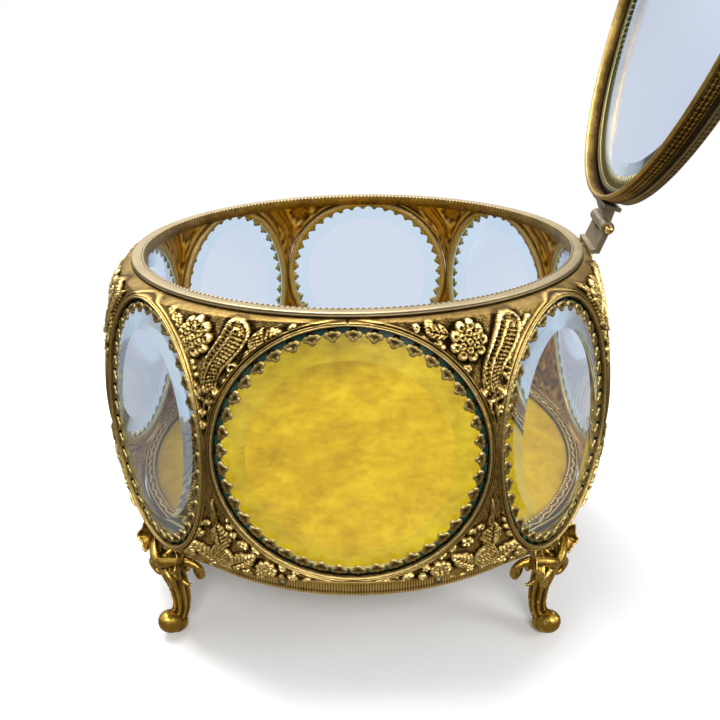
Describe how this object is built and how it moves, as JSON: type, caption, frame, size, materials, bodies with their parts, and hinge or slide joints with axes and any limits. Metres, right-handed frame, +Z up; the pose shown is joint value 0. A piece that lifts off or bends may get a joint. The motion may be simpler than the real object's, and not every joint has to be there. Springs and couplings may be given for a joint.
{
  "type": "glass trinket box",
  "caption": "Eight-sided gilt brass trinket box with round and oval bevelled windows, cast feet, velvet floor pad and a hinged round glass lid, standing open.",
  "frame": {"origin": "centre of the base plate's flat underside, on the box's vertical axis", "axes": "+Z up, -Y towards the front round window, +X towards the hinge side"},
  "size_m": [0.1746, 0.144, 0.2352],
  "materials": {
    "cast_brass": "antique gilt with dark patina in the recesses",
    "worn_brass": "worn satin brass, greyish",
    "bright_brass": "polished gilt, lightly worn",
    "clear_glass": "clear, bevelled edge with a pale aqua tint",
    "velvet": "short golden yellow velvet with soft mottling"
  },
  "bodies": {
    "box": {"rim_ring": "worn_brass", "base_ring": "cast_brass", "base_plate": "cast_brass", "floor_border": "bright_brass", "floor_pad": "velvet", "corner_front_to_front_right": "cast_brass", "round_bezel_front": "cast_brass", "round_glass_front": "clear_glass", "corner_front_right_to_right": "cast_brass", "oval_bezel_front_right": "cast_brass", "oval_glass_front_right": "clear_glass", "corner_right_to_back_right": "cast_brass", "round_bezel_right": "cast_brass", "round_glass_right": "clear_glass", "corner_back_right_to_back": "cast_brass", "oval_bezel_back_right": "cast_brass", "oval_glass_back_right": "clear_glass", "corner_back_to_back_left": "cast_brass", "round_bezel_back": "cast_brass", "round_glass_back": "clear_glass", "corner_back_left_to_left": "cast_brass", "oval_bezel_back_left": "cast_brass", "oval_glass_back_left": "clear_glass", "corner_left_to_front_left": "cast_brass", "round_bezel_left": "cast_brass", "round_glass_left": "clear_glass", "corner_front_left_to_front": "cast_brass", "oval_bezel_front_left": "cast_brass", "oval_glass_front_left": "clear_glass", "foot_front_right": "bright_brass", "foot_back_right": "bright_brass", "foot_back_left": "bright_brass", "foot_front_left": "bright_brass", "base_rivet_front_left": "bright_brass", "base_rivet_front_right": "bright_brass", "base_rivet_right_left": "bright_brass", "base_rivet_right_right": "bright_brass", "base_rivet_back_left": "bright_brass", "base_rivet_back_right": "bright_brass", "base_rivet_left_left": "bright_brass", "base_rivet_left_right": "bright_brass", "hinge_leaf_body": "worn_brass", "hinge_pin": "bright_brass"},
    "lid": {"lid_frame": "worn_brass", "lid_top_hoop": "cast_brass", "lid_bezel": "cast_brass", "lid_glass": "clear_glass", "hinge_leaf_lid": "worn_brass"}
  },
  "joints": [
    {"name": "lid_hinge", "type": "hinge", "parent": "box", "child": "lid", "pos_m": [0.06832, -0.00718, 0.0757], "axis": [0.1045, 0.9945, 0], "range_deg": [-104, 0]}
  ]
}
